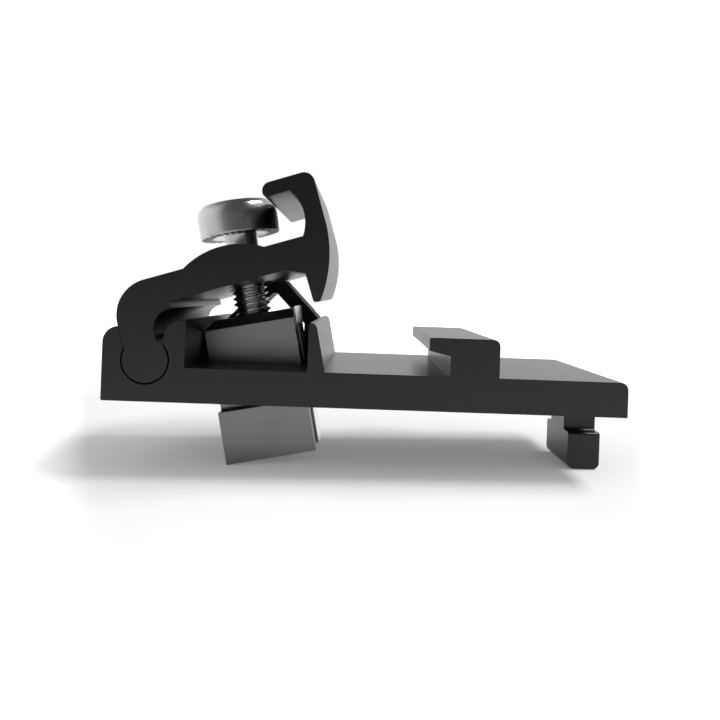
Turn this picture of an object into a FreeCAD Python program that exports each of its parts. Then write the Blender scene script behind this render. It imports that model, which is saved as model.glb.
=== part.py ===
import FreeCAD
import Part
import math
import os

# Cross connector that clamps one mounting rail across another.
# Sizes in millimetres. X runs from the hinge end to the key end, Y through the two extrusions,
# Z up from the underside, which lies on the lower rail. The origin is the middle of the underside.
# Each section below is drawn with X from the base's hinge end, and moved to the origin at the end.

# Both aluminium extrusions are sawn to the same length.
depth = 40.0

# Base plate
base_length = 100.0
plate_thickness = 6.7
plate_end_radius = 1.5

# Hinge: a round bead on the arm, held in a part-round socket of the base
socket_side_wall = 3.5
socket_floor = 3.25
bead_radius = 4.35
hinge_gap = 0.3
neck_width = 6.2
stop_gap = 0.05
open_angle = 18.0
outer_lobe_height = 14.2
outer_lobe_radius = 3.1

# Pocket for the nut, between the inner lobe and the rib
pocket_start = 15.7
pocket_length = 23.3
edge_break = 0.35

# Rib that the jaw closes over
rib_height = 9.3
rib_foot = 3.35
rib_slope = 11.7
rib_radius = 1.25

# Seat of the upper rail, and the fixed hook over its flange
seat_length = 23.75
hook_body = 9.4
hook_reach = 4.05
hook_mouth = 4.8
hook_throat = 3.9
hook_lip = 2.5
hook_radius = 1.3

# Key under the far end, which drops into the lower rail's slot
key_length = 6.7
key_neck_width = 8.6
key_neck_height = 5.8
key_head_width = 14.4
key_head_height = 7.7
key_radius = 1.4
key_ledge_radius = 0.5

# Clamp arm, drawn with its neck upright, which is one degree past its closed position
closed_angle = 17.0
web_over_rib = 0.85
web_fall = 0.4
web_thickness = 5.35
web_bend_radius = 7.05
shoulder_step = 1.25
shoulder_length = 0.5
shoulder_radius = 3.85
hub_length = 15.9
hub_rise = 2.2
post_thickness = 6.6
post_lean = 0.2
post_wall = 3.65
arm_gap_height = 9.0
arm_hook_reach = 10.2
arm_hook_thickness = 2.65
arm_hook_tip_radius = 0.8
arm_hook_nose_radius = 1.7
arm_crown_radius = 2.05
post_straight = 0.7
jaw_gap = 0.3
jaw_lift = 2.75
jaw_tip_width = 1.3
jaw_tip_radius = 0.6
jaw_belly = 1.05
jaw_root = 1.55
jaw_root_length = 3.5

# Clamp screw, M8 with a low cylinder head
screw_x = 27.5
screw_tilt = 11.3
thread_diameter = 7.9
shank_diameter = 7.1
shank_length = 8.0
screw_length = 40.0
head_diameter = 17.4
head_height = 7.0
head_chamfer = 0.9
head_lift = 3.8
drive_across_flats = 6.0
drive_depth = 4.0
screw_end_chamfer = 0.8
slot_clearance = 0.55

# Slot nut, an extruded block with a groove each side for the slot's lips
nut_length = 19.1
nut_width = 14.4
nut_neck_width = 8.6
nut_body_height = 13.55
nut_groove_height = 5.8
nut_head_height = 11.1
nut_chamfer = 1.9
nut_groove_radius = 0.5
lip_room = 2.6
thread_gap = 0.08
thread_countersink = 0.5
window_side_gap = 0.2
window_end_gap = 0.45
window_radius = 0.5

# Leaf of spring steel on the nut's end
leaf_thickness = 0.5
leaf_width = 7.0
leaf_tab_height = 4.0
leaf_rise = 0.3
leaf_stop = 0.7

# Arch spring behind the nut, standing in the pocket, which pushes the arm open
spring_apex_x = 28.3
spring_leg = 3.25
spring_foot = 3.4
spring_slope = 46.0
spring_crown = 2.0
spring_inner_radius = 1.0
spring_gap = 0.2
spring_nut_gap = 0.4
spring_inset = 3.5

# Places that follow from the sizes above
socket_radius = bead_radius + hinge_gap
hinge_x = socket_side_wall + socket_radius
hinge_z = socket_floor + socket_radius
pocket_end = pocket_start + pocket_length
rib_top = plate_thickness + rib_height
rib_end = pocket_end + rib_foot
seat_end = rib_end + seat_length
hook_end = seat_end + hook_body
hook_top = plate_thickness + hook_mouth + hook_lip
key_start = base_length - key_length
web_under_jaw = rib_top + web_over_rib
web_under_neck = web_under_jaw + web_fall
shoulder_under = web_under_neck - shoulder_step
neck_side = neck_width / 2.0
pivot_z = plate_thickness / 2.0
nut_head_top = -lip_room
nut_bottom = nut_head_top - nut_head_height
nut_body_bottom = nut_head_top + nut_groove_height
nut_top = nut_body_bottom + nut_body_height
MID = "arc passes here"


def vec(x, z, y=0.0):
    """Point of the X-Z section plane, or y in front of or behind it."""
    return FreeCAD.Vector(x, y, z)


def turned(x, z, angle, about_x, about_z):
    """The point turned about a Y axis. A positive angle takes +Z towards +X."""
    c, s = math.cos(math.radians(angle)), math.sin(math.radians(angle))
    dx, dz = x - about_x, z - about_z
    return about_x + dx * c + dz * s, about_z - dx * s + dz * c


def open_place(x, z):
    """Where a point of the drawn arm lies when the arm stands open."""
    return turned(x, z, -open_angle, hinge_x, hinge_z)


def rounded_corner(before, corner, after, radius):
    """The two tangent points of a rounded corner, and the arc's middle point."""
    to_before = (before - corner).normalize()
    to_after = (after - corner).normalize()
    half = to_before.getAngle(to_after) / 2.0
    bisector = (to_before + to_after).normalize()
    run = radius / math.tan(half)
    middle = corner + bisector * (radius / math.sin(half) - radius)
    return corner + to_before * run, middle, corner + to_after * run


def section(points):
    """Face of a closed outline in the X-Z plane.

    Each point is (x, z), (x, z, radius) for a rounded corner, or (x, z, MID) for a point that the
    arc between its two neighbours passes through.
    """
    places = [vec(p[0], p[1]) for p in points]
    marks = [p[2] if len(p) > 2 else 0.0 for p in points]
    count = len(points)
    corners = {}
    for i, mark in enumerate(marks):
        if mark != MID:
            before, after = places[i - 1], places[(i + 1) % count]
            here = places[i]
            corners[i] = rounded_corner(before, here, after, mark) if mark else (here, here, here)
    edges = []
    for i in corners:
        arrive, middle, leave = corners[i]
        if marks[i]:
            edges.append(Part.Arc(arrive, middle, leave).toShape())
        following = (i + 1) % count
        if marks[following] == MID:
            end = corners[(following + 1) % count][0]
            edges.append(Part.Arc(leave, places[following], end).toShape())
        else:
            edges.append(Part.LineSegment(leave, corners[following][0]).toShape())
    return Part.Face(Part.Wire(Part.__sortEdges__(edges)))


def mirrored(side):
    """Outline points of a symmetrical section, from those of its right half, top to bottom."""
    return side + [(-p[0],) + tuple(p[1:]) for p in reversed(side)]


def extruded(face, front, back):
    """The section carried along Y from front to back."""
    solid = face.extrude(FreeCAD.Vector(0.0, back - front, 0.0))
    solid.translate(FreeCAD.Vector(0.0, front, 0.0))
    return solid


def bar(start, end, bottom, top, width):
    """Straight block centred on the section plane."""
    return Part.makeBox(end - start, width, top - bottom, vec(start, bottom, -width / 2.0))


def cross_rod(x, z, radius, length):
    """Round rod along Y, centred on the section plane."""
    return Part.makeCylinder(radius, length, vec(x, z, -length / 2.0), FreeCAD.Vector(0.0, 1.0, 0.0))


def rib_face_x(z):
    """X of the rib's sloping side at a height over the underside."""
    return rib_end - (z - plate_thickness) * math.tan(math.radians(rib_slope))


def nut_side_x(offset, z):
    """X, at a height z, of the leaning line that lies offset from the nut's axis."""
    lean = math.radians(screw_tilt)
    return screw_x + offset / math.cos(lean) - (z - pivot_z) * math.tan(lean)


def base_plate():
    """Base extrusion: hinge lobes, pocket, rib, rail seat, fixed hook, and the milled key."""
    flank_low = open_place(hinge_x - neck_side - stop_gap, hinge_z)
    flank_up = open_place(hinge_x - neck_side - stop_gap, hinge_z + outer_lobe_height)
    share = (outer_lobe_height - flank_low[1]) / (flank_up[1] - flank_low[1])
    flank_top_x = flank_low[0] + share * (flank_up[0] - flank_low[0])
    lobe_shoulder = outer_lobe_height - outer_lobe_radius
    lobe_turn = math.acos(flank_top_x / outer_lobe_radius - 1.0)
    lobe_arc = [(
        outer_lobe_radius * (1.0 + math.cos(angle)), lobe_shoulder + outer_lobe_radius * math.sin(angle)
    ) for angle in ((math.pi + lobe_turn) / 2.0, lobe_turn)]
    inner_flank = hinge_x + neck_side + hinge_gap
    inner_lobe_top = shoulder_under - hinge_gap
    hook_inner = plate_thickness + hook_throat
    hook_tip = plate_thickness + hook_mouth
    body = extruded(section([
        (0.0, 0.0, edge_break),
        (0.0, lobe_shoulder),
        (lobe_arc[0][0], lobe_arc[0][1], MID),
        lobe_arc[1],
        flank_low,
        (hinge_x, hinge_z),
        (inner_flank, hinge_z),
        (inner_flank, inner_lobe_top, shoulder_radius - hinge_gap),
        (pocket_start, inner_lobe_top),
        (pocket_start, plate_thickness),
        (pocket_end, plate_thickness),
        (pocket_end, rib_top, edge_break),
        (rib_face_x(rib_top), rib_top, rib_radius),
        (rib_end, plate_thickness),
        (seat_end, plate_thickness),
        (seat_end, hook_inner),
        (seat_end - hook_reach, hook_tip, edge_break),
        (seat_end - hook_reach, hook_top, edge_break),
        (hook_end, hook_top, hook_radius),
        (hook_end, plate_thickness),
        (base_length, plate_thickness, plate_end_radius),
        (base_length, 0.0),
    ]), -depth / 2.0, depth / 2.0)
    body = body.cut(cross_rod(hinge_x, hinge_z, socket_radius, depth + 2.0))
    return body.cut(nut_window()).fuse(slot_key()).removeSplitter()


def nut_window():
    """Punched opening in the pocket's floor that the leaning nut passes through."""
    start = nut_side_x(-nut_length / 2.0, plate_thickness) - window_end_gap
    end = nut_side_x(nut_length / 2.0 + leaf_thickness, 0.0) + window_end_gap
    window = bar(start, end, -1.0, plate_thickness + 1.0, nut_width + 2.0 * window_side_gap)
    upright = [e for e in window.Edges if abs(e.tangentAt(e.FirstParameter).z) > 0.99]
    return window.makeFillet(window_radius, upright)


def slot_key():
    """T-shaped key, flush with the base's end: a neck and a wider head, rounded at the bottom."""
    neck, wide = key_neck_width / 2.0, key_head_width / 2.0
    ledge = -key_neck_height
    bottom = ledge - key_head_height
    right_side = [
        (neck, 1.0), (neck, ledge, key_ledge_radius), (wide, ledge, key_ledge_radius), (wide, bottom)
    ]
    tee = extruded(section(mirrored(right_side)), key_start - 1.0, base_length + 1.0)
    tee.rotate(vec(0.0, 0.0), FreeCAD.Vector(0.0, 0.0, 1.0), -90.0)
    outline = extruded(section([
        (key_start, plate_thickness / 2.0),
        (base_length, plate_thickness / 2.0),
        (base_length, bottom, key_radius),
        (key_start, bottom, key_radius),
    ]), -key_head_width, key_head_width)
    return tee.common(outline)


def web_under(x):
    """Height of the drawn arm's underside, which falls gently from the neck to the jaw."""
    neck_x = hinge_x + neck_side + shoulder_radius
    jaw_x = rib_face_x(plate_thickness + jaw_lift)
    return web_under_neck - web_fall * (x - neck_x) / (jaw_x - neck_x)


def screw_line_x(height, arm_angle, tilt):
    """Where the screw's axis crosses a height of the drawn arm, for one position of the two."""
    foot = turned(screw_x, pivot_z, arm_angle, hinge_x, hinge_z)
    lean = math.radians(arm_angle - tilt)
    return foot[0] + (height - foot[1]) * math.tan(lean)


def slot_span():
    """Both ends of the arm's slot, which clears the screw from open to closed."""
    crossings = [
        screw_line_x(height, arm_angle, tilt)
        for height in (web_under(screw_x), web_under(screw_x) + web_thickness + hub_rise)
        for arm_angle, tilt in ((open_angle, screw_tilt), (open_angle - closed_angle, 0.0))
    ]
    side = thread_diameter / 2.0 + slot_clearance
    return min(crossings) - side, max(crossings) + side


def clamp_arm():
    """Arm extrusion: bead, neck, humped web with the screw slot, jaw and upper hook."""
    slot_start, slot_end = slot_span()
    hub_x = (slot_start + slot_end) / 2.0
    hub_start, hub_end = hub_x - hub_length / 2.0, hub_x + hub_length / 2.0
    jaw_tip = plate_thickness + jaw_lift
    jaw_x = rib_face_x(jaw_tip + jaw_tip_radius) + jaw_gap
    outer_x = jaw_x + post_thickness
    gap_floor = web_under(jaw_x) + web_thickness
    gap_roof = gap_floor + arm_gap_height
    crown = gap_roof + arm_hook_thickness
    gap_corner = outer_x - post_wall - gap_bulge()
    post_foot = gap_floor + post_straight
    tip_outer = jaw_x + jaw_tip_width
    belly = ((outer_x + tip_outer) / 2.0 + jaw_belly, (post_foot + jaw_tip) / 2.0)
    root = web_under(jaw_x) - jaw_root
    drawn = extruded(section([
        (hinge_x - neck_side, hinge_z),
        (hinge_x - neck_side, web_under(hinge_x) + web_thickness, web_bend_radius),
        (hub_start, web_under(hub_start) + web_thickness),
        (hub_x, web_under(hub_x) + web_thickness + hub_rise, MID),
        (hub_end, web_under(hub_end) + web_thickness),
        (gap_corner, gap_floor),
        (outer_x - post_wall, (gap_floor + gap_roof) / 2.0, MID),
        (gap_corner, gap_roof),
        (outer_x - arm_hook_reach, gap_roof, arm_hook_tip_radius),
        (outer_x - arm_hook_reach, crown, arm_hook_nose_radius),
        (outer_x, crown, arm_crown_radius),
        (outer_x - post_lean, post_foot),
        (belly[0], belly[1], MID),
        (tip_outer, jaw_tip),
        (jaw_x, jaw_tip, jaw_tip_radius),
        (jaw_x, root),
        (jaw_x - jaw_root_length, web_under(jaw_x - jaw_root_length)),
        (hinge_x + neck_side + shoulder_radius + shoulder_length, web_under_neck),
        (hinge_x + neck_side + shoulder_radius + shoulder_length, shoulder_under),
        (hinge_x + neck_side, shoulder_under, shoulder_radius),
        (hinge_x + neck_side, hinge_z),
    ]), -depth / 2.0, depth / 2.0)
    arm = drawn.fuse(cross_rod(hinge_x, hinge_z, bead_radius, depth)).removeSplitter()
    arm = arm.cut(screw_slot(slot_start, slot_end, crown))
    arm.rotate(vec(hinge_x, hinge_z), FreeCAD.Vector(0.0, 1.0, 0.0), -open_angle)
    return arm


def gap_bulge():
    """How far the round back of the arm's gap is hollowed behind its corners."""
    return arm_gap_height * 0.16


def screw_slot(start, end, top):
    """Short slot along X with round ends, as high as the arm."""
    radius = thread_diameter / 2.0 + slot_clearance
    bottom = web_under_jaw - 1.0
    left, right = start + radius, end - radius
    slot = bar(left, right, bottom, top, 2.0 * radius)
    for x in (left, right):
        slot = slot.fuse(Part.makeCylinder(radius, top - bottom, vec(x, bottom)))
    return slot.removeSplitter()


def leaned(shape):
    """The upright screw or nut leaned over to where it hangs while the arm is open."""
    shape.rotate(vec(screw_x, pivot_z), FreeCAD.Vector(0.0, 1.0, 0.0), -screw_tilt)
    return shape


def head_seat_z():
    """Height of the upright screw head's underside, which stands clear of the open arm's hub."""
    hub_top = web_under(screw_x) + web_thickness + hub_rise
    foot = turned(screw_x, pivot_z, open_angle, hinge_x, hinge_z)
    reach = (hub_top - foot[1]) / math.cos(math.radians(open_angle - screw_tilt))
    return pivot_z + reach + head_lift


def clamp_screw():
    """Screw turned as one profile, with a hexagon socket in its head."""
    seat = head_seat_z()
    thread, shank, head = thread_diameter / 2.0, shank_diameter / 2.0, head_diameter / 2.0
    top, end = seat + head_height, seat - screw_length
    neck = seat - shank_length
    profile = Part.Face(Part.makePolygon([vec(x, z) for x, z in (
        (0.0, end),
        (thread - screw_end_chamfer, end),
        (thread, end + screw_end_chamfer),
        (thread, neck - (thread - shank)),
        (shank, neck),
        (shank, seat),
        (head, seat),
        (head, top - head_chamfer),
        (head - head_chamfer, top),
        (0.0, top),
        (0.0, end),
    )]))
    screw = profile.revolve(vec(0.0, 0.0), FreeCAD.Vector(0.0, 0.0, 1.0), 360.0)
    corner = drive_across_flats / math.sqrt(3.0)
    corners = [math.radians(60.0 * n) for n in range(7)]
    hexagon = Part.Face(Part.makePolygon([
        FreeCAD.Vector(corner * math.cos(a), corner * math.sin(a), top - drive_depth) for a in corners
    ]))
    screw = screw.cut(hexagon.extrude(FreeCAD.Vector(0.0, 0.0, drive_depth + 1.0)))
    screw.translate(vec(screw_x, 0.0))
    return leaned(screw)


def slot_nut():
    """Nut sawn from an extrusion whose section is grooved for the slot's lips, then tapped."""
    wide, narrow = nut_width / 2.0, nut_neck_width / 2.0
    block = extruded(section(mirrored([
        (wide - nut_chamfer, nut_top),
        (wide, nut_top - nut_chamfer),
        (wide, nut_body_bottom),
        (narrow, nut_body_bottom, nut_groove_radius),
        (narrow, nut_head_top, nut_groove_radius),
        (wide, nut_head_top),
        (wide, nut_bottom),
    ])), -nut_length / 2.0, nut_length / 2.0)
    block.rotate(vec(0.0, 0.0), FreeCAD.Vector(0.0, 0.0, 1.0), 90.0)
    hinge_end = [
        e for e in block.Edges
        if abs(e.CenterOfMass.z - nut_top) < 1e-6 and abs(e.CenterOfMass.x + nut_length / 2.0) < 1e-6
    ]
    block = block.makeChamfer(nut_chamfer, hinge_end)
    bore = thread_diameter / 2.0 + thread_gap
    tapped = Part.makeCylinder(bore, nut_top - nut_bottom, vec(0.0, nut_bottom))
    mouth = bore + thread_countersink
    for z, way in ((nut_top, -1.0), (nut_bottom, 1.0)):
        cone = Part.makeCone(mouth, bore, thread_countersink, vec(0.0, z), FreeCAD.Vector(0.0, 0.0, way))
        tapped = tapped.fuse(cone)
    nut = block.cut(tapped)
    nut.translate(vec(screw_x, 0.0))
    return leaned(nut)


def nut_leaf():
    """Flat spring leaf on the nut's end: a narrow strip with a wide tab that stands over the nut."""
    start = screw_x + nut_length / 2.0
    end = start + leaf_thickness
    top = nut_top + leaf_rise
    strip = bar(start, end, nut_bottom + leaf_stop, top - leaf_tab_height, leaf_width)
    tab = bar(start, end, top - leaf_tab_height, top, nut_width)
    return leaned(strip.fuse(tab).removeSplitter())


def arch_spring():
    """Spring with two upright feet in the pocket and two sloping legs that meet under the open arm."""
    rise = math.tan(math.radians(spring_slope))
    leg_height = spring_leg / math.cos(math.radians(spring_slope))
    arm_left = open_place(slot_span()[0], web_under(slot_span()[0]) - spring_gap)
    arm_right = open_place(slot_span()[1], web_under(slot_span()[1]) - spring_gap)
    arm_rise = (arm_right[1] - arm_left[1]) / (arm_right[0] - arm_left[0])
    arm_over_apex = arm_left[1] + (spring_apex_x - arm_left[0]) * arm_rise
    inner_apex = arm_over_apex - spring_crown
    outer_apex = inner_apex + leg_height
    above = outer_apex - arm_over_apex
    flat_left = spring_apex_x - above / (rise - arm_rise)
    flat_right = spring_apex_x + above / (rise + arm_rise)
    foot_left = pocket_start + spring_gap
    foot_right = pocket_end - spring_gap
    drop_left = (spring_apex_x - foot_left) * rise
    drop_right = (foot_right - spring_apex_x) * rise
    foot_drop = spring_foot * rise
    front = nut_width / 2.0 + spring_nut_gap
    return extruded(section([
        (foot_left, plate_thickness),
        (foot_left, outer_apex - drop_left, edge_break),
        (flat_left, arm_over_apex - (spring_apex_x - flat_left) * arm_rise, edge_break),
        (flat_right, arm_over_apex + (flat_right - spring_apex_x) * arm_rise, edge_break),
        (foot_right, outer_apex - drop_right, edge_break),
        (foot_right, plate_thickness),
        (foot_right - spring_foot, plate_thickness),
        (foot_right - spring_foot, inner_apex - drop_right + foot_drop),
        (spring_apex_x, inner_apex, spring_inner_radius),
        (foot_left + spring_foot, inner_apex - drop_left + foot_drop),
        (foot_left + spring_foot, plate_thickness),
    ]), front, depth / 2.0 - spring_inset)


def write_parts():
    """Builds every piece, moves it to the part's own origin and writes one STEP file for each."""
    os.makedirs("parts", exist_ok=True)
    pieces = {
        "base_plate": base_plate(),
        "clamp_arm": clamp_arm(),
        "clamp_screw": clamp_screw(),
        "slot_nut": slot_nut(),
        "nut_leaf": nut_leaf(),
        "arch_spring": arch_spring(),
    }
    for name, shape in pieces.items():
        shape.translate(vec(-base_length / 2.0, 0.0))
        shape.exportStep(os.path.join("parts", name + ".step"))
        box = shape.BoundBox
        print(name, "valid", shape.isValid(), "solids", len(shape.Solids), "cm3", round(shape.Volume / 1e3, 3),
              "X", round(box.XMin, 2), round(box.XMax, 2), "Y", round(box.YMin, 2), round(box.YMax, 2),
              "Z", round(box.ZMin, 2), round(box.ZMax, 2))


write_parts()
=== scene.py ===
import logging
import math
from dataclasses import dataclass
from enum import Enum

import bmesh
import bpy
import numpy as np
from mathutils import Matrix, Vector


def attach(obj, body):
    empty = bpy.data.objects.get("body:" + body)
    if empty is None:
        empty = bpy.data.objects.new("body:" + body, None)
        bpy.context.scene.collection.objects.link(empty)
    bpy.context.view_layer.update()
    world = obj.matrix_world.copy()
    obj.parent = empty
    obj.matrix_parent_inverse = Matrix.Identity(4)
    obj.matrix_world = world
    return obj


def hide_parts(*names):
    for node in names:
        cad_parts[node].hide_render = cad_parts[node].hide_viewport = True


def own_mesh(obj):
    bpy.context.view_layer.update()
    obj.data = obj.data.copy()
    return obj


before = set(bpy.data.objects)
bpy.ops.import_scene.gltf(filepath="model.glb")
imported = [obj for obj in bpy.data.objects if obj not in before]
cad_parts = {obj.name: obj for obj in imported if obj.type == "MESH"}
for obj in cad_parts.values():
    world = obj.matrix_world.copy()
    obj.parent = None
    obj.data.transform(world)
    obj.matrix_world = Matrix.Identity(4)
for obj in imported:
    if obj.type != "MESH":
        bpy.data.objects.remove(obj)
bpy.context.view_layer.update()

log = logging.getLogger("cross_connector")
MM = 0.001
FULL_TURN = 2.0 * math.pi
# a face is sawn or sheared where the Y of its normal is over this
SAWN_END = 0.9
# a colour ramp's positions, each with an sRGB hex colour or a plain grey value
Stops = tuple[tuple[float, str | float], ...]


class Finish(Enum):
    """The finishes on the connector and under it."""

    ANODISED = "black_anodised_aluminium"
    STEEL = "stainless_steel"
    MILL = "mill_aluminium"
    SPRING = "spring_steel"
    PLASTIC = "black_plastic"
    FLOOR = "studio_floor"


def linear(colour: str) -> tuple[float, float, float, float]:
    """Turns an sRGB hex colour to the linear values that a shader takes.

    Args:
        colour: "#rrggbb".

    Returns:
        Linear red, green and blue, and full opacity.
    """
    parts = np.array([int(colour[i:i + 2], 16) for i in (1, 3, 5)]) / 255.0
    low = parts / 12.92
    high = ((parts + 0.055) / 1.055) ** 2.4
    return (*np.where(parts <= 0.04045, low, high).tolist(), 1.0)


def add_node(
    tree: bpy.types.NodeTree,
    kind: str,
    settings: dict[str, object] | None = None,
    values: dict[str | int, object] | None = None,
    links: dict[str | int, bpy.types.NodeSocket] | None = None,
    stops: Stops = (),
) -> bpy.types.Node:
    """Adds one shader node with its settings, socket values, incoming links and ramp stops.

    Args:
        tree: the node tree.
        kind: the node's type name.
        settings: attributes set on the node itself.
        values: constants by input name or number.
        links: the sockets that feed inputs, by input name or number.
        stops: a colour ramp's stops.

    Returns:
        The new node.
    """
    node = tree.nodes.new(kind)
    for name, value in (settings or {}).items():
        setattr(node, name, value)
    for name, value in (values or {}).items():
        node.inputs[name].default_value = value
    for name, socket in (links or {}).items():
        tree.links.new(socket, node.inputs[name])
    if stops:
        elements = node.color_ramp.elements
        while len(elements) < len(stops):
            elements.new(0.5)
        for element, (position, tone) in zip(elements, stops):
            element.position = position
            element.color = linear(tone) if isinstance(tone, str) else (tone, tone, tone, 1.0)
    return node


@dataclass(frozen=True)
class Surface:
    """What every finish has: a base tone, a roughness, and the material that they make.

    Attributes:
        finish: which finish it is, named as the record's slot.
        tone: sRGB base colour.
        metallic: 1 for a metal.
        roughness: the shader's roughness.
        smoother: how far the roughness falls below that in places.
        rougher: how far it rises above that in places.
        relief: strength of the surface's relief.
        relief_mm: height of the relief.
    """

    finish: Finish
    tone: str
    metallic: float
    roughness: float
    smoother: float = 0.05
    rougher: float = 0.08
    relief: float = 0.1
    relief_mm: float = 0.03

    def start(
        self,
    ) -> tuple[bpy.types.Material, bpy.types.NodeTree, bpy.types.Node, bpy.types.NodeSocket]:
        """Makes the material with its shader.

        Returns:
            The material, its node tree, the shader, and the piece's object coordinates.
        """
        material = bpy.data.materials.new(self.finish.value)
        material.use_nodes = True
        tree = material.node_tree
        tree.nodes.clear()
        shader = add_node(
            tree,
            "ShaderNodeBsdfPrincipled",
            values={
                "Base Color": linear(self.tone),
                "Metallic": self.metallic,
                "Roughness": self.roughness,
            },
        )
        add_node(tree, "ShaderNodeOutputMaterial", links={"Surface": shader.outputs["BSDF"]})
        place = add_node(tree, "ShaderNodeTexCoord").outputs["Object"]
        material.diffuse_color = linear(self.tone)
        return material, tree, shader, place

    def pattern(
        self,
        tree: bpy.types.NodeTree,
        place: bpy.types.NodeSocket,
        pitch_mm: tuple[float, float, float],
        detail: float = 2.0,
        roughness: float = 0.5,
    ) -> bpy.types.NodeSocket:
        """Lays a random pattern over the piece, with marks of a real size.

        Args:
            tree: the node tree.
            place: object coordinates, in metres.
            pitch_mm: the marks' size along X, Y and Z.
            detail: how many finer layers the pattern has.
            roughness: how strong those layers are.

        Returns:
            The pattern, from 0 to 1.
        """
        stretched = add_node(
            tree,
            "ShaderNodeMapping",
            values={"Scale": tuple(1.0 / (pitch * MM) for pitch in pitch_mm)},
            links={"Vector": place},
        )
        noise = add_node(
            tree,
            "ShaderNodeTexNoise",
            values={"Scale": 1.0, "Detail": detail, "Roughness": roughness},
            links={"Vector": stretched.outputs["Vector"]},
        )
        return noise.outputs["Fac"]

    def facing_along(self, tree: bpy.types.NodeTree) -> bpy.types.NodeSocket:
        """Tells how squarely a face looks along Y: the size of its true normal's Y.

        Args:
            tree: the node tree.

        Returns:
            1 on the sawn or sheared ends and 0 on the sides.
        """
        normal = add_node(tree, "ShaderNodeNewGeometry").outputs["True Normal"]
        parts = add_node(tree, "ShaderNodeSeparateXYZ", links={"Vector": normal})
        size = add_node(
            tree, "ShaderNodeMath", {"operation": "ABSOLUTE"}, links={0: parts.outputs["Y"]}
        )
        return size.outputs["Value"]

    def wear(
        self,
        tree: bpy.types.NodeTree,
        shader: bpy.types.Node,
        uneven: bpy.types.NodeSocket,
        height: bpy.types.NodeSocket | None = None,
    ) -> None:
        """Lets one pattern vary the roughness and another raise the surface.

        Args:
            tree: the node tree.
            shader: the finish's shader.
            uneven: the pattern that varies the roughness.
            height: the pattern that raises the surface, if it has any relief.
        """
        rough = add_node(
            tree,
            "ShaderNodeMapRange",
            values={
                "To Min": self.roughness - self.smoother,
                "To Max": self.roughness + self.rougher,
            },
            links={"Value": uneven},
        )
        tree.links.new(rough.outputs["Result"], shader.inputs["Roughness"])
        if height is not None:
            bump = add_node(
                tree,
                "ShaderNodeBump",
                values={"Strength": self.relief, "Distance": self.relief_mm * MM},
                links={"Height": height},
            )
            tree.links.new(bump.outputs["Normal"], shader.inputs["Normal"])


@dataclass(frozen=True)
class AnodisedExtrusion(Surface):
    """Aluminium extruded, sawn and dyed black in its oxide.

    The eye gets a dense black that turns silvery at a low angle, with faint die lines along the
    extrusion and fine saw lines across its sawn ends. Real die lines are about 0.2 mm apart and
    wouldn't show, so both kinds are drawn coarser. The index is over the oxide's own 1.77,
    because metal lies under it. With the sheen it is matched to how dark a face looks from the
    front and how light along it.

    Attributes:
        die_line_mm: spacing of the lines along the extrusion.
        die_line_length_mm: how far one line runs.
        saw_line_mm: height of the saw's marks on the ends.
        saw_mark_mm: the marks' size along X and Y.
        grit_mm: grain of the etched skin.
        grit_stretch: how many times as long a grain is along the extrusion.
        grit_share: how much of the relief is grit.
        oxide_ior: the oxide's index of refraction.
        sheen: level of the reflection seen from the front.
    """

    finish: Finish = Finish.ANODISED
    tone: str = "#131313"
    metallic: float = 0.0
    roughness: float = 0.32
    smoother: float = 0.05
    rougher: float = 0.06
    relief: float = 0.12
    relief_mm: float = 0.03
    die_line_mm: float = 0.55
    die_line_length_mm: float = 60.0
    saw_line_mm: float = 0.9
    saw_mark_mm: tuple[float, float] = (90.0, 5.0)
    grit_mm: float = 0.12
    grit_stretch: float = 4.0
    grit_share: float = 0.35
    oxide_ior: float = 2.1
    sheen: float = 0.15

    def material(self) -> bpy.types.Material:
        """Builds the node tree: die lines on the sides, saw lines and grit on the ends.

        Returns:
            The material.
        """
        material, tree, shader, place = self.start()
        shader.inputs["IOR"].default_value = self.oxide_ior
        shader.inputs["Specular IOR Level"].default_value = self.sheen
        line_pitch = (self.die_line_mm, self.die_line_length_mm, self.die_line_mm)
        lines = self.pattern(tree, place, line_pitch, detail=3.0, roughness=0.6)
        grit_pitch = (self.grit_mm, self.grit_mm * self.grit_stretch, self.grit_mm)
        grit = self.pattern(tree, place, grit_pitch, roughness=0.7)
        saw_pitch = (*self.saw_mark_mm, self.saw_line_mm)
        saw = self.pattern(tree, place, saw_pitch, detail=4.0, roughness=0.65)
        sawn = add_node(
            tree,
            "ShaderNodeMath",
            {"operation": "GREATER_THAN"},
            {1: SAWN_END},
            {0: self.facing_along(tree)},
        )
        # inputs 2 and 3 and output 0 are the plain-number sockets of a mix
        mixed = add_node(
            tree,
            "ShaderNodeMix",
            {"data_type": "FLOAT"},
            links={"Factor": sawn.outputs["Value"], 2: lines, 3: saw},
        )
        height = add_node(
            tree,
            "ShaderNodeMath",
            {"operation": "MULTIPLY_ADD"},
            {1: self.grit_share},
            {0: grit, 2: mixed.outputs[0]},
        )
        self.wear(tree, shader, grit, height.outputs["Value"])
        return material


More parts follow.
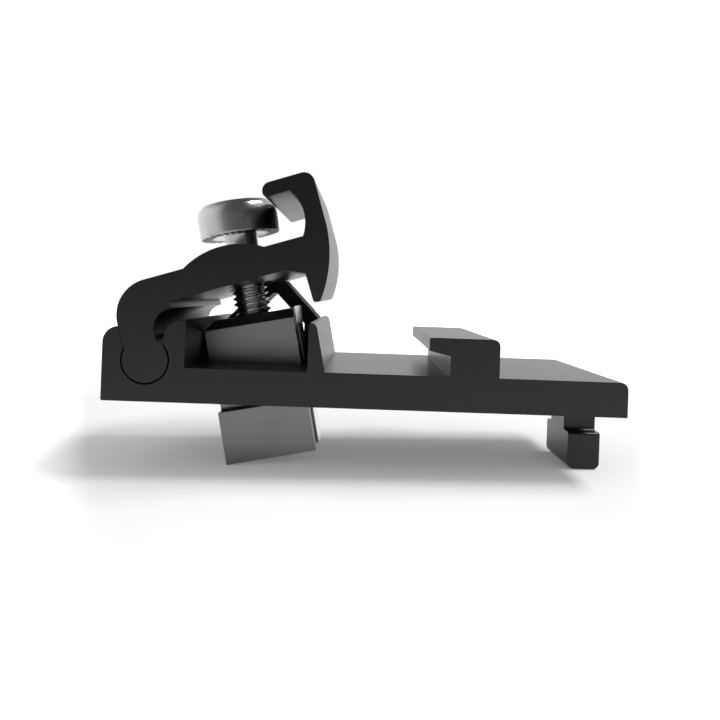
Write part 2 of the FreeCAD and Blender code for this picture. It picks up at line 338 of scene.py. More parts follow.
@dataclass(frozen=True)
class TurnedSteel(Surface):
    """Stainless steel, turned to shape, with a rolled thread.

    The eye gets a bright metal with sharp reflections, softened by fine turning rings. Real
    rings are about 0.1 mm apart and wouldn't show, so they are drawn coarser.

    Attributes:
        ring_mm: spacing of the rings.
        patch_mm: how far one mark reaches across the screw.
    """

    finish: Finish = Finish.STEEL
    tone: str = "#c7c7c7"
    metallic: float = 1.0
    roughness: float = 0.22
    smoother: float = 0.03
    rougher: float = 0.03
    relief: float = 0.05
    relief_mm: float = 0.006
    ring_mm: float = 0.3
    patch_mm: float = 8.0

    def material(self) -> bpy.types.Material:
        """Builds the node tree: fine rings and a little mottling in the roughness.

        Returns:
            The material.
        """
        material, tree, shader, place = self.start()
        pitch = (self.patch_mm, self.patch_mm, self.ring_mm)
        mottle = self.pattern(tree, place, pitch, detail=3.0, roughness=0.55)
        self.wear(tree, shader, mottle, mottle)
        return material


@dataclass(frozen=True)
class MillAluminium(Surface):
    """Bare aluminium as it leaves the die and the saw.

    The eye gets a soft grey metal with lines along the bar and a slightly uneven sheen. Its die
    lines are drawn coarser than the real ones, which wouldn't show.

    Attributes:
        dark_tone: sRGB colour between the lines.
        tone_span: values of the pattern at which the tone is dark, and full.
        line_mm: spacing of the lines.
        line_length_mm: how far one line runs.
        cloud_mm: size of the duller patches.
    """

    finish: Finish = Finish.MILL
    tone: str = "#929292"
    metallic: float = 1.0
    roughness: float = 0.38
    smoother: float = 0.07
    rougher: float = 0.08
    relief: float = 0.08
    relief_mm: float = 0.03
    dark_tone: str = "#8c8c8c"
    tone_span: tuple[float, float] = (0.3, 0.7)
    line_mm: float = 0.4
    line_length_mm: float = 30.0
    cloud_mm: float = 9.0

    def material(self) -> bpy.types.Material:
        """Builds the node tree: lines along X in tone and relief, patches in the roughness.

        Returns:
            The material.
        """
        material, tree, shader, place = self.start()
        pitch = (self.line_length_mm, self.line_mm, self.line_mm)
        lines = self.pattern(tree, place, pitch, detail=4.0, roughness=0.6)
        cloud = self.pattern(tree, place, (self.cloud_mm,) * 3)
        tones = tuple(zip(self.tone_span, (self.dark_tone, self.tone)))
        tone = add_node(tree, "ShaderNodeValToRGB", links={"Fac": lines}, stops=tones)
        tree.links.new(tone.outputs["Color"], shader.inputs["Base Color"])
        self.wear(tree, shader, cloud, lines)
        return material


@dataclass(frozen=True)
class RolledSpringSteel(Surface):
    """Spring strip, cold rolled and sheared to width.

    The eye gets a bright thin band with straight rolling lines along it and dark sheared edges.

    Attributes:
        sheared: sRGB colour of the sheared edges.
        shear_start: the Y of a face's normal from which the tone turns to that.
        line_mm: spacing of the rolling lines.
        line_length_mm: how far one line runs along the strip.
        line_depth_mm: how far it reaches through the strip, so that both faces match.
    """

    finish: Finish = Finish.SPRING
    tone: str = "#cecece"
    metallic: float = 1.0
    roughness: float = 0.24
    smoother: float = 0.06
    rougher: float = 0.08
    sheared: str = "#6a6a6a"
    shear_start: float = 0.6
    line_mm: float = 0.25
    line_length_mm: float = 25.0
    line_depth_mm: float = 10.0

    def material(self) -> bpy.types.Material:
        """Builds the node tree: rolling lines along the strip, and a duller sheared edge.

        Returns:
            The material.
        """
        material, tree, shader, place = self.start()
        tone = add_node(
            tree,
            "ShaderNodeValToRGB",
            links={"Fac": self.facing_along(tree)},
            stops=((self.shear_start, self.tone), (SAWN_END, self.sheared)),
        )
        tree.links.new(tone.outputs["Color"], shader.inputs["Base Color"])
        pitch = (self.line_depth_mm, self.line_mm, self.line_length_mm)
        self.wear(tree, shader, self.pattern(tree, place, pitch, detail=3.0))
        return material


@dataclass(frozen=True)
class MouldedPlastic(Surface):
    """Black acetal, moulded in a spark-eroded tool.

    The eye gets a dull black with a fine even grain and a soft sheen on its edges.

    Attributes:
        grain_mm: size of the tool's grain.
        ior: index of refraction. It is under acetal's own 1.48, matched to how little the
            spring shines in the pocket.
    """

    finish: Finish = Finish.PLASTIC
    tone: str = "#050505"
    metallic: float = 0.0
    roughness: float = 0.55
    smoother: float = 0.05
    rougher: float = 0.08
    relief: float = 0.25
    relief_mm: float = 0.04
    grain_mm: float = 0.22
    ior: float = 1.36

    def material(self) -> bpy.types.Material:
        """Builds the node tree: an even grain in the relief and the roughness.

        Returns:
            The material.
        """
        material, tree, shader, place = self.start()
        shader.inputs["IOR"].default_value = self.ior
        grain = self.pattern(tree, place, (self.grain_mm,) * 3, roughness=0.6)
        self.wear(tree, shader, grain, grain)
        return material


FINISHES: dict[Finish, bpy.types.Material] = {
    surface.finish: surface.material()
    for surface in (
        AnodisedExtrusion(),
        TurnedSteel(),
        MillAluminium(),
        RolledSpringSteel(),
        MouldedPlastic(),
    )
}


def dress(piece: bpy.types.Object, finish: Finish) -> None:
    """Gives a piece one finish and the record's slot of the same name.

    Args:
        piece: the mesh object.
        finish: what it is made of.
    """
    piece.data.materials.clear()
    piece.data.materials.append(FINISHES[finish])


def ring(angle: np.ndarray, reach: np.ndarray | float, height: np.ndarray | float) -> np.ndarray:
    """Works out a ring of points, or rows of rings: reach times the angle's cosine and sine.

    Args:
        angle: the points' angles round the axis.
        reach: their distance from it.
        height: their height along it.

    Returns:
        Array of the angles' shape with X, Y and Z in one more dimension.
    """
    across, along = reach * np.cos(angle), reach * np.sin(angle)
    return np.stack([across, along, np.broadcast_to(height, angle.shape)], axis=-1)


def grid_mesh(name: str, points: np.ndarray) -> bpy.types.Object:
    """Makes an object from a grid of points, one row for each profile point.

    Rows run along the profile and columns run round it, so quad (i, j) joins row i to row i + 1
    and column j to column j + 1, where the last column meets the first.

    Args:
        name: the object's name.
        points: array of shape (rows, columns, 3), in metres.

    Returns:
        The object, linked to the scene.
    """
    rows, columns = points.shape[:2]
    left = np.arange(rows * columns).reshape(rows, columns)
    right = np.roll(left, -1, axis=1)
    quads = np.stack([left[:-1], right[:-1], right[1:], left[1:]], axis=-1).reshape(-1, 4)
    mesh = bpy.data.meshes.new(name)
    mesh.from_pydata(points.reshape(-1, 3), [], quads)
    mesh.validate()
    piece = bpy.data.objects.new(name, mesh)
    bpy.context.scene.collection.objects.link(piece)
    return piece


def weld(piece: bpy.types.Object, distance: float = 1e-6) -> None:
    """Merges a mesh's doubles and turns its faces outwards.

    Args:
        piece: the mesh object.
        distance: how near two vertices are to be one, in metres.
    """
    work = bmesh.new()
    work.from_mesh(piece.data)
    bmesh.ops.remove_doubles(work, verts=work.verts, dist=distance)
    bmesh.ops.dissolve_degenerate(work, dist=distance, edges=work.edges)
    bmesh.ops.recalc_face_normals(work, faces=work.faces)
    work.to_mesh(piece.data)
    work.free()


def smooth_by_angle(piece: bpy.types.Object, degrees: float) -> None:
    """Shades smooth, with edges over the angle kept sharp."""
    piece.data.shade_smooth()
    piece.data.set_sharp_from_angle(angle=math.radians(degrees))


def softened_copy(
    node: str, edge_mm: float, flat: float = 0.5, crease: float = 28.0, corner: float = 32.0
) -> bpy.types.Object:
    """Copies a CAD node and breaks its edges as a deburring wheel does.

    Args:
        node: the CAD node that the copy stands for.
        edge_mm: width of the broken edge.
        flat: angle in degrees under which neighbouring triangles become one face.
        crease: angle in degrees over which an edge is shaded sharp.
        corner: angle in degrees over which an edge is broken.

    Returns:
        The copy, which replaces the node.
    """
    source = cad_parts[node]
    mesh = source.data.copy()
    mesh.name = node + "_dressed"
    piece = bpy.data.objects.new(node + "_dressed", mesh)
    bpy.context.scene.collection.objects.link(piece)
    weld(piece)
    work = bmesh.new()
    work.from_mesh(mesh)
    bmesh.ops.dissolve_limit(
        work, angle_limit=math.radians(flat), verts=work.verts, edges=work.edges
    )
    work.to_mesh(mesh)
    work.free()
    smooth_by_angle(piece, crease)
    bevel = piece.modifiers.new("broken edge", "BEVEL")
    bevel.width = edge_mm * MM
    bevel.segments = 2
    bevel.limit_method = "ANGLE"
    bevel.angle_limit = math.radians(corner)
    bevel.harden_normals = True
    bevel.use_clamp_overlap = True
    return piece


@dataclass
class Extrusions:
    """The base and the clamp arm, both cut from black anodised extrusions.

    Attributes:
        broken_edge_mm: how far the sawn edges are broken.
    """

    broken_edge_mm: float = 0.07

    def build(self) -> None:
        """Dresses both extrusions and lets each ride on its body."""
        for node, body in (("base_plate", "base"), ("clamp_arm", "arm")):
            piece = softened_copy(node, self.broken_edge_mm)
            dress(piece, Finish.ANODISED)
            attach(piece, body)
            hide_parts(node)
            log.info("%s: %d faces", piece.name, len(piece.data.polygons))


@dataclass
class ClampScrew:
    """M8 screw with a low cylinder head that is notched underneath. All sizes in millimetres.

    Attributes:
        head_top: middle of the head's top at rest, where the record's hex_drive mount is.
        tilt: how far the screw leans towards -X, in degrees.
        head_radius: radius of the head.
        head_height: height of the head.
        head_columns: points round the head.
        under: rings under the head from the shank out, as radius, height and depth of the notch.
        rim_radius: rounding between the underside and the side.
        rim_rings: rings round that.
        teeth: notches under the head. Real ones are finer, and wouldn't show.
        notch_share: share of the pitch that a notch takes.
        side_foot: height of the upright side's lower ring.
        roll_foot: how far under the rolled edge its upper ring lies.
        roll: how far the side leans in below the chamfer, in degrees.
        roll_height: over which height it does so.
        roll_rings: rings round that.
        chamfer: chamfer of the head's top rim.
        top_ring: how far inside the chamfer the flat top's first ring lies.
        mouth_rings: radii of the flat top's rings outside the socket.
        drive_flats: width across the hexagon socket.
        drive_depth: depth of the socket.
        drive_mouth: rings from the top into the socket, as widening and drop.
        drive_foot: how far over the socket's floor the last ring on its wall lies.
        drive_point: rings of the drilled point, as share of the socket's radius and drop.
        shank_radius: radius of the plain shank.
        shank_length: plain length under the head.
        shank_columns: points round the shank.
        shank_fillet: how much wider the shank starts, inside the head.
        shank_root: how far up in the head it starts.
        lead_in: how far up in the plain length the thread's close rings start.
        ring_gap: gap between close rings and the others.
        plain_rings: rings on the plain length.
        seen_rings: rings for each pitch of thread, as far down as seen_length.
        hidden_rings: rings for each pitch below that.
        end_rings: rings on the chamfered end.
        crest_radius: radius of the thread's crests.
        thread_depth: from crest to root.
        pitch: of the thread.
        crest_share: share of the half pitch that is crest.
        flank_share: share of the half pitch that is flank.
        flank_rounding: how much of the flank is rounded.
        runout: turns over which the thread fades in.
        length: from under the head to the end.
        end_chamfer: chamfer of the screw's end.
        end_point: share of the end's radius left open, so little that the weld closes it.
        seen_length: how far down the thread can be seen above the nut.
        weld_distance: how near two points are to be one, in metres.
        head_crease: angle in degrees over which the head's edges stay sharp.
        shank_crease: the same for the shank.
    """

    head_top: tuple[float, float, float] = (-29.9473, 0.0, 40.6199)
    tilt: float = 11.3
    head_radius: float = 8.7
    head_height: float = 7.0
    head_columns: int = 360
    under: tuple[tuple[float, float, float], ...] = (
        (3.4, 0.15, 0.0),
        (4.2, 0.15, 0.0),
        (5.2, 0.05, 0.0),
        (6.1, 0.0, 0.05),
        (6.6, 0.0, 0.38),
        (8.3, 0.0, 0.38),
        (8.45, 0.0, 0.1),
    )
    rim_radius: float = 0.15
    rim_rings: int = 5
    teeth: int = 30
    notch_share: float = 0.7
    side_foot: float = 0.7
    roll_foot: float = 0.3
    roll: float = 18.0
    roll_height: float = 2.0
    roll_rings: int = 8
    chamfer: float = 0.9
    top_ring: float = 0.35
    mouth_rings: tuple[float, float] = (4.6, 4.15)
    drive_flats: float = 6.0
    drive_depth: float = 4.0
    drive_mouth: tuple[tuple[float, float], ...] = ((0.35, 0.02), (0.0, 0.4), (0.0, 0.9))
    drive_foot: float = 0.3
    drive_point: tuple[tuple[float, float], ...] = ((0.55, 0.25), (0.2, 0.6), (0.001, 0.75))
    shank_radius: float = 3.55
    shank_length: float = 8.0
    shank_columns: int = 96
    shank_fillet: float = 0.2
    shank_root: float = 0.7
    lead_in: float = 0.4
    ring_gap: float = 0.1
    plain_rings: int = 6
    seen_rings: int = 22
    hidden_rings: int = 8
    end_rings: int = 6
    crest_radius: float = 3.95
    thread_depth: float = 0.68
    pitch: float = 1.25
    crest_share: float = 0.1
    flank_share: float = 0.72
    flank_rounding: float = 0.35
    runout: float = 1.2
    length: float = 40.0
    end_chamfer: float = 0.8
    end_point: float = 0.001
    seen_length: float = 24.0
    weld_distance: float = 5e-6
    head_crease: float = 20.0
    shank_crease: float = 75.0

    def placed(self, points: np.ndarray) -> np.ndarray:
        """Turns points from the screw's own frame, with Z = 0 under the head, to the part's.

        Args:
            points: array of shape (..., 3), in millimetres.

        Returns:
            The points in metres, leaned about Y and moved under the head's top.
        """
        lean = math.radians(self.tilt)
        x, y, z = points[..., 0], points[..., 1], points[..., 2] - self.head_height
        moved = np.stack(
            [
                x * math.cos(lean) - z * math.sin(lean) + self.head_top[0],
                y + self.head_top[1],
                x * math.sin(lean) + z * math.cos(lean) + self.head_top[2],
            ],
            axis=-1,
        )
        return moved * MM

    def hexagon(self, angle: np.ndarray) -> np.ndarray:
        """Works out the hexagon socket: half its width over the cosine of the angle from a flat.

        Args:
            angle: angles round the screw.

        Returns:
            The socket's radius at each angle.
        """
        step = FULL_TURN / 6.0
        off_flat = np.mod(angle, step) - step / 2.0
        return self.drive_flats / 2.0 / np.cos(off_flat)

    def underside(self) -> list[tuple[float, float, float]]:
        """Lists the rings under the head and round its lower rim.

        The rim is a quarter circle: its radius grows with the sine of the turn and its height
        with one less the cosine.

        Returns:
            Radius, height and notch depth of each ring.
        """
        inner = self.head_radius - self.rim_radius
        rim = [
            (inner + self.rim_radius * math.sin(t), self.rim_radius * (1.0 - math.cos(t)), 0.0)
            for t in np.linspace(0.0, math.pi / 2.0, self.rim_rings)
        ]
        return [*self.under, *rim]

    def outside(self) -> list[tuple[float, float]]:
        """Lists the rings up the side, round the rolled edge and chamfer and over the top.

        The rolled edge is an arc that leaves the side upright and ends at the roll's angle: its
        radius falls by the bend times one less the cosine, and it climbs by the bend times the
        sine.

        Returns:
            Radius and height of each ring.
        """
        radius, top = self.head_radius, self.head_height
        start = top - self.chamfer - self.roll_height
        roll = np.linspace(0.0, math.radians(self.roll), self.roll_rings)
        bend = self.roll_height / math.sin(roll[-1])
        side = [(radius, self.side_foot), (radius, start - self.roll_foot)]
        side += [
            (radius - bend * (1.0 - math.cos(t)), start + bend * math.sin(t)) for t in roll
        ]
        edge = side[-1][0] - self.chamfer
        return [*side, *((r, top) for r in (edge, edge - self.top_ring, *self.mouth_rings))]

    def head(self) -> bpy.types.Object:
        """Makes the head as one skin, from under it, round the rim, and down into the socket.

        Each row is a ring. Under the head its height rises by the notch depth times a V wave of
        the angle, which is 1 in the middle of a notch and 0 on the land beside it. In the socket
        the ring takes the hexagon's radius in place of a round one.

        Returns:
            The head.
        """
        angle = np.linspace(0.0, FULL_TURN, self.head_columns, endpoint=False)
        tooth = np.mod(angle * self.teeth / FULL_TURN, 1.0)
        notch = np.clip(1.0 - np.abs(tooth - 0.5) / (self.notch_share / 2.0), 0.0, 1.0)
        rings = [ring(angle, r, up + depth * notch) for r, up, depth in self.underside()]
        rings += [ring(angle, r, up) for r, up in self.outside()]
        wall, top = self.hexagon(angle), self.head_height
        floor = top - self.drive_depth
        rings += [ring(angle, wall + grow, top - drop) for grow, drop in self.drive_mouth]
        rings += [ring(angle, wall, floor + up) for up in (self.drive_foot, 0.0)]
        rings += [ring(angle, wall * share, floor - drop) for share, drop in self.drive_point]
        return grid_mesh("screw_head", self.placed(np.stack(rings)))

    def shank(self) -> bpy.types.Object:
        """Makes the shank and thread as one skin.

        The radius at height z and angle a is the crest less the depth times a rounded triangle
        wave of (z / pitch - a / one turn), which gives a right-hand helix. The wave fades out to
        the plain shank above, and the end is chamfered by a cap on the radius. Rings stand close
        where the thread shows, and further apart where the nut or the head hides it.

        Returns:
            The shank.
        """
        angle = np.linspace(0.0, FULL_TURN, self.shank_columns, endpoint=False)
        start, foot = self.shank_length - self.lead_in, self.length - self.end_chamfer
        gap = self.ring_gap
        depth = np.concatenate(
            [
                np.linspace(0.0, start - gap, self.plain_rings),
                np.arange(start, self.seen_length, self.pitch / self.seen_rings),
                np.arange(self.seen_length, foot - gap, self.pitch / self.hidden_rings),
                np.linspace(foot - gap / 2.0, self.length, self.end_rings),
            ]
        )
        down, around = np.meshgrid(depth, angle, indexing="ij")
        phase = np.mod(down / self.pitch + around / FULL_TURN, 1.0)
        wave = np.abs(2.0 * phase - 1.0)
        flank = np.clip((wave - self.crest_share) / self.flank_share, 0.0, 1.0)
        rounded = flank * flank * (3.0 - 2.0 * flank)
        flank = rounded * self.flank_rounding + flank * (1.0 - self.flank_rounding)
        fade = np.clip((down - self.shank_length) / (self.runout * self.pitch), 0.0, 1.0)
        threaded = self.crest_radius - self.thread_depth * flank
        radius = self.shank_radius + (threaded - self.shank_radius) * fade
        radius = np.minimum(radius, self.crest_radius - np.clip(down - foot, 0.0, None))
        body = ring(around, radius, -down)
        root = ring(angle, self.shank_radius + self.shank_fillet, self.shank_root)[None]
        point = ring(angle, radius[-1] * self.end_point, -self.length)[None]
        return grid_mesh("screw_shank", self.placed(np.concatenate([root, body, point])))

    def build(self) -> None:
        """Builds the head and the shank and puts them in place of the plain screw."""
        head, shank = self.head(), self.shank()
        for piece, crease in ((head, self.head_crease), (shank, self.shank_crease)):
            weld(piece, self.weld_distance)
            smooth_by_angle(piece, crease)
            dress(piece, Finish.STEEL)
            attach(piece, "screw")
            log.info("%s: %d faces", piece.name, len(piece.data.polygons))
        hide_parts("clamp_screw")


@dataclass
class SlotNut:
    """The grooved nut and the spring leaf on its end.

    Attributes:
        nut_edge_mm: how far the nut's edges are broken.
        leaf_edge_mm: how far the leaf's edges are broken.
    """

    nut_edge_mm: float = 0.1
    leaf_edge_mm: float = 0.06

    def build(self) -> None:
        """Dresses the nut and its leaf."""
        for node, finish, edge in (
            ("slot_nut", Finish.MILL, self.nut_edge_mm),
            ("nut_leaf", Finish.SPRING, self.leaf_edge_mm),
        ):
            piece = softened_copy(node, edge)
            dress(piece, finish)
            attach(piece, "nut")
            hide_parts(node)
            log.info("%s: %d faces", piece.name, len(piece.data.polygons))


@dataclass
class ArchSpring:
    """The moulded spring behind the nut, which flattens as the arm comes down.

    Attributes:
        edge_mm: how far its edges are rounded.
        pocket_floor: height of the pocket's floor, in millimetres. Not used.
        closed_share: its height with the arm closed, as a share of its height at rest. Not used.
    """

    edge_mm: float = 0.2
    pocket_floor: float = 6.7
    closed_share: float = 0.59

    def build(self) -> None:
        """Dresses the spring and lets it ride on the base."""
        piece = softened_copy("arch_spring", self.edge_mm)
        dress(piece, Finish.PLASTIC)
        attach(piece, "base")
        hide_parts("arch_spring")
        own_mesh(piece)
        log.info("%s: %d faces", piece.name, len(piece.data.polygons))


@dataclass
class Studio:
    """White studio: the floor that the connector lies on, soft light and the camera.

    A glow is how much brighter a surface looks to one kind of ray than it is lit, where 1 is
    white.

    Attributes:
        floor_tone: sRGB colour of the floor.
        floor_roughness: how matte the floor is.
        floor_half: half the floor's width, in metres.
        floor_height: height of the floor under the origin, in millimetres.
        floor_tilt: how far the floor rises towards +X in the part's frame, in degrees.
        painted_side_light_and_shadow: the floor's glow to the camera, by its distance to either
            side as a share of side_reach. It is even and faint under the connector. Just beside
            it, it dips into a faint painted shadow band. Further out it rises as painted light
            that ends the shadow there.
        side_reach: in metres.
        side_slant: how much further out the side glow starts for each metre towards the back.
        painted_front_light: painted light, a further glow of the floor in front of the connector
            that thins the shadow's front edge.
        painted_front_light_span: from where to where that sets in, along Y in metres.
        far_span: from where to where the floor turns white round the origin, in metres.
        mirrored_glow: the glow of the floor behind the connector in the metal's reflections.
        mirrored_span: from where to where that sets in, along Y in metres.
        left_share: how much the room brightens to the left, as a share of how much it does
            towards the back.
        room_span: the most that the direction's weighed sum can be, which sets the room's ends.
        room: how bright the room is in reflections, from the camera's side to the back.
        ceiling: the same from level to overhead.
        room_light: strength of the room as light.
        room_mirrored: strength of the room in reflections.
        key_place: where the softbox hangs, aimed at the origin, in millimetres.
        key_size: its width, level with the floor, and its height, in millimetres.
        key_power: its power, in watts.
        camera_place: the camera, in millimetres.
        roll: how far the camera leans, in degrees.
        lens: focal length, in millimetres.
        shift: the lens shift, as shares of the frame's width.
        clip: the nearest and the furthest that the camera sees, in metres.
    """

    floor_tone: str = "#f2f2f2"
    floor_roughness: float = 0.5
    floor_half: float = 1.2
    floor_height: float = -14.75
    floor_tilt: float = 1.35
    # painted light that ends the floor's shadow at both sides, with a faint painted shadow band
    # just beside the connector
    painted_side_light_and_shadow: Stops = (
        (0.4, 0.12),
        (0.56, 0.085),
        (0.61, 0.09),
        (0.7, 0.42),
        (0.85, 0.9),
    )
    side_reach: float = 0.1
    side_slant: float = 0.48
    # painted light that thins the shadow's front edge
    painted_front_light: float = 0.04
    painted_front_light_span: tuple[float, float] = (-0.004, -0.016)
    far_span: tuple[float, float] = (0.12, 0.35)
    mirrored_glow: float = 0.35
    mirrored_span: tuple[float, float] = (-0.02, 0.03)
    left_share: float = 0.35
    room_span: float = 1.06
    room: Stops = (
        (0.0, 0.08),
        (0.1, 0.11),
        (0.19, 0.16),
        (0.33, 0.6),
        (0.45, 0.8),
        (0.8, 1.0),
    )
    ceiling: Stops = ((0.3, 1.0), (0.6, 0.55), (0.95, 0.08))
    room_light: float = 0.55
    room_mirrored: float = 1.1
    key_place: tuple[float, float, float] = (290.0, -45.0, 480.0)
    key_size: tuple[float, float] = (330.0, 110.0)
    key_power: float = 2.1
    camera_place: tuple[float, float, float] = (-0.6, -132.5, 21.85)
    roll: float = 1.97
    lens: float = 29.705
    shift: tuple[float, float] = (-0.0065, -0.0918)
    clip: tuple[float, float] = (0.005, 20.0)

    def floor(self) -> None:
        """Lays a pale floor, tilted a little, as the connector rests on its nut and its key."""
        half = self.floor_half
        rise = math.tan(math.radians(self.floor_tilt))
        corners = np.array([[-half, -half], [half, -half], [half, half], [-half, half]])
        points = np.column_stack([corners, self.floor_height * MM + corners[:, 0] * rise])
        mesh = bpy.data.meshes.new("floor")
        mesh.from_pydata(points, [], [(0, 1, 2, 3)])
        floor = bpy.data.objects.new("floor", mesh)
        bpy.context.scene.collection.objects.link(floor)
        mesh.materials.append(self.floor_material())

    def camera_glow_and_painted_light(
        self, tree: bpy.types.NodeTree, place: bpy.types.NodeSocket, where: bpy.types.Node
    ) -> bpy.types.NodeSocket:
        """Works out how much the floor glows to the camera: painted light and a faint painted
        shadow band at the sides, painted light in front, and the far parts turning white, added.

        The distance to the side is the size of X less the slant times Y.

        Args:
            tree: the floor's node tree.
            place: the floor's object coordinates.
            where: the node that gives their X, Y and Z.

        Returns:
            The glow.
        """
        reach = add_node(tree, "ShaderNodeVectorMath", {"operation": "LENGTH"}, links={0: place})
        far = add_node(
            tree,
            "ShaderNodeMapRange",
            values={"From Min": self.far_span[0], "From Max": self.far_span[1]},
            links={"Value": reach.outputs["Value"]},
        )
        across = add_node(
            tree, "ShaderNodeMath", {"operation": "ABSOLUTE"}, links={0: where.outputs["X"]}
        )
        aside = add_node(
            tree,
            "ShaderNodeMath",
            {"operation": "MULTIPLY_ADD"},
            {1: -self.side_slant},
            {0: where.outputs["Y"], 2: across.outputs["Value"]},
        )
        share = add_node(
            tree,
            "ShaderNodeMapRange",
            values={"From Max": self.side_reach},
            links={"Value": aside.outputs["Value"]},
        )
        # painted light at the sides, with a faint painted shadow band just beside the connector
        sides = add_node(
            tree,
            "ShaderNodeValToRGB",
            links={"Fac": share.outputs["Result"]},
            stops=self.painted_side_light_and_shadow,
        )
        # painted light in front, which thins the shadow's front edge
        front = add_node(
            tree,
            "ShaderNodeMapRange",
            values={
                "From Min": self.painted_front_light_span[0],
                "From Max": self.painted_front_light_span[1],
                "To Max": self.painted_front_light,
            },
            links={"Value": where.outputs["Y"]},
        )
        flat = add_node(
            tree,
            "ShaderNodeMath",
            {"operation": "ADD"},
            links={0: far.outputs["Result"], 1: front.outputs["Result"]},
        )
        whole = add_node(
            tree,
            "ShaderNodeMath",
            {"operation": "ADD"},
            links={0: flat.outputs["Value"], 1: sides.outputs["Color"]},
        )
        return whole.outputs["Value"]

    def floor_material(self) -> bpy.types.Material:
        """Makes a matte white board that takes the shadow and shows a little brighter than lit,
        with painted light and a faint painted shadow band round the shadow's ends.

        Returns:
            The material.
        """
        material = bpy.data.materials.new(Finish.FLOOR.value)
        material.use_nodes = True
        tree = material.node_tree
        tree.nodes.clear()
        board = add_node(
            tree,
            "ShaderNodeBsdfDiffuse",
            values={"Color": linear(self.floor_tone), "Roughness": self.floor_roughness},
        )
        path = add_node(tree, "ShaderNodeLightPath")
        place = add_node(tree, "ShaderNodeTexCoord").outputs["Object"]
        where = add_node(tree, "ShaderNodeSeparateXYZ", links={"Vector": place})
        behind = add_node(
            tree,
            "ShaderNodeMapRange",
            values={
                "From Min": self.mirrored_span[0],
                "From Max": self.mirrored_span[1],
                "To Max": self.mirrored_glow,
            },
            links={"Value": where.outputs["Y"]},
        )
        mirrored = add_node(
            tree,
            "ShaderNodeMath",
            {"operation": "MULTIPLY"},
            links={0: behind.outputs["Result"], 1: path.outputs["Is Glossy Ray"]},
        )
        # to the camera the floor carries painted light and a faint painted shadow band;
        # reflections see it brighter behind the connector
        strength = add_node(
            tree,
            "ShaderNodeMath",
            {"operation": "MULTIPLY_ADD"},
            links={
                0: self.camera_glow_and_painted_light(tree, place, where),
                1: path.outputs["Is Camera Ray"],
                2: mirrored.outputs["Value"],
            },
        )
        glow = add_node(
            tree,
            "ShaderNodeEmission",
            values={"Color": linear("#ffffff")},
            links={"Strength": strength.outputs["Value"]},
        )
        both = add_node(
            tree, "ShaderNodeAddShader", links={0: board.outputs["BSDF"], 1: glow.outputs[0]}
        )
        add_node(tree, "ShaderNodeOutputMaterial", links={"Surface": both.outputs[0]})
        return material

    def mirrored_room(self, tree: bpy.types.NodeTree) -> bpy.types.NodeSocket:
        """Works out the room as reflections show it: the room's ramp times the ceiling's.

        The room's ramp runs over the direction's Y less left_share times its X, so it is dim
        behind the camera and bright behind the object and to its left.

        Args:
            tree: the world's node tree.

        Returns:
            The colour.
        """
        way = add_node(tree, "ShaderNodeTexCoord").outputs["Generated"]
        parts = add_node(tree, "ShaderNodeSeparateXYZ", links={"Vector": way})
        lit_side = add_node(
            tree,
            "ShaderNodeMath",
            {"operation": "MULTIPLY_ADD"},
            {1: -self.left_share},
            {0: parts.outputs["X"], 2: parts.outputs["Y"]},
        )
        share = add_node(
            tree,
            "ShaderNodeMapRange",
            values={"From Min": -self.room_span, "From Max": self.room_span},
            links={"Value": lit_side.outputs["Value"]},
        )
        room = add_node(
            tree, "ShaderNodeValToRGB", links={"Fac": share.outputs["Result"]}, stops=self.room
        )
        ceiling = add_node(
            tree, "ShaderNodeValToRGB", links={"Fac": parts.outputs["Z"]}, stops=self.ceiling
        )
        # inputs 6 and 7 and output 2 are the colour sockets of a mix
        product = add_node(
            tree,
            "ShaderNodeMix",
            {"data_type": "RGBA", "blend_type": "MULTIPLY"},
            {"Factor": 1.0},
            {6: room.outputs["Color"], 7: ceiling.outputs["Color"]},
        )
        return product.outputs[2]

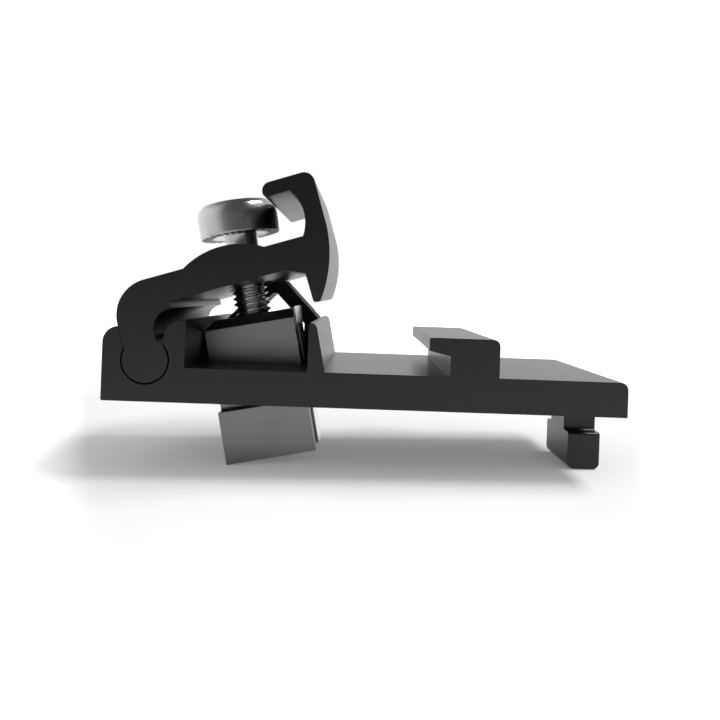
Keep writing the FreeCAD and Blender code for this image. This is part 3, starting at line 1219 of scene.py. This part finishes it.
    def world(self) -> None:
        """Makes the surround: white to the camera, a lit room in reflections, softer as light."""
        world = bpy.data.worlds.new("studio")
        bpy.context.scene.world = world
        world.use_nodes = True
        tree = world.node_tree
        tree.nodes.clear()
        path = add_node(tree, "ShaderNodeLightPath")
        white = linear("#ffffff")
        light = add_node(
            tree, "ShaderNodeBackground", values={"Color": white, "Strength": self.room_light}
        )
        reflected = add_node(
            tree,
            "ShaderNodeBackground",
            values={"Strength": self.room_mirrored},
            links={"Color": self.mirrored_room(tree)},
        )
        plain = add_node(
            tree, "ShaderNodeBackground", values={"Color": white, "Strength": 1.0}
        )
        glossy = add_node(
            tree,
            "ShaderNodeMixShader",
            links={
                0: path.outputs["Is Glossy Ray"],
                1: light.outputs["Background"],
                2: reflected.outputs["Background"],
            },
        )
        through = add_node(
            tree,
            "ShaderNodeMath",
            {"operation": "MAXIMUM"},
            links={0: path.outputs["Is Camera Ray"], 1: path.outputs["Is Transmission Ray"]},
        )
        seen = add_node(
            tree,
            "ShaderNodeMixShader",
            links={
                0: through.outputs["Value"],
                1: glossy.outputs["Shader"],
                2: plain.outputs["Background"],
            },
        )
        add_node(tree, "ShaderNodeOutputWorld", links={"Surface": seen.outputs["Shader"]})

    def key_softbox(self) -> None:
        """Hangs the one oblong softbox, up on the right, which gives the shadow its direction."""
        data = bpy.data.lights.new("key softbox", "AREA")
        data.shape = "RECTANGLE"
        data.size, data.size_y = self.key_size[0] * MM, self.key_size[1] * MM
        data.energy = self.key_power
        lamp = bpy.data.objects.new("key softbox", data)
        bpy.context.scene.collection.objects.link(lamp)
        place = Vector(self.key_place) * MM
        lamp.location = place
        lamp.rotation_euler = (-place).to_track_quat("-Z", "Y").to_euler()

    def camera(self) -> None:
        """Sets the camera square to the front, with the photograph's lens, shift and roll."""
        data = bpy.data.cameras.new("camera")
        data.lens = self.lens
        data.sensor_width = 36.0
        data.sensor_fit = "HORIZONTAL"
        data.shift_x, data.shift_y = self.shift
        data.clip_start, data.clip_end = self.clip
        camera = bpy.data.objects.new("camera", data)
        bpy.context.scene.collection.objects.link(camera)
        lean = math.radians(self.roll)
        place = Vector(self.camera_place) * MM
        camera.matrix_world = Matrix(
            (
                (math.cos(lean), -math.sin(lean), 0.0, place.x),
                (0.0, 0.0, -1.0, place.y),
                (math.sin(lean), math.cos(lean), 0.0, place.z),
                (0.0, 0.0, 0.0, 1.0),
            )
        )
        bpy.context.scene.camera = camera

    def build(self) -> None:
        """Builds the studio."""
        self.floor()
        self.world()
        self.key_softbox()
        self.camera()
        bpy.context.scene.view_settings.view_transform = "Standard"
        log.info("studio: floor, world, lamp and camera")


def main() -> None:
    logging.basicConfig(level=logging.INFO, format="%(message)s")
    for part in (Extrusions(), ClampScrew(), SlotNut(), ArchSpring(), Studio()):
        part.build()


if __name__ == "__main__":
    main()
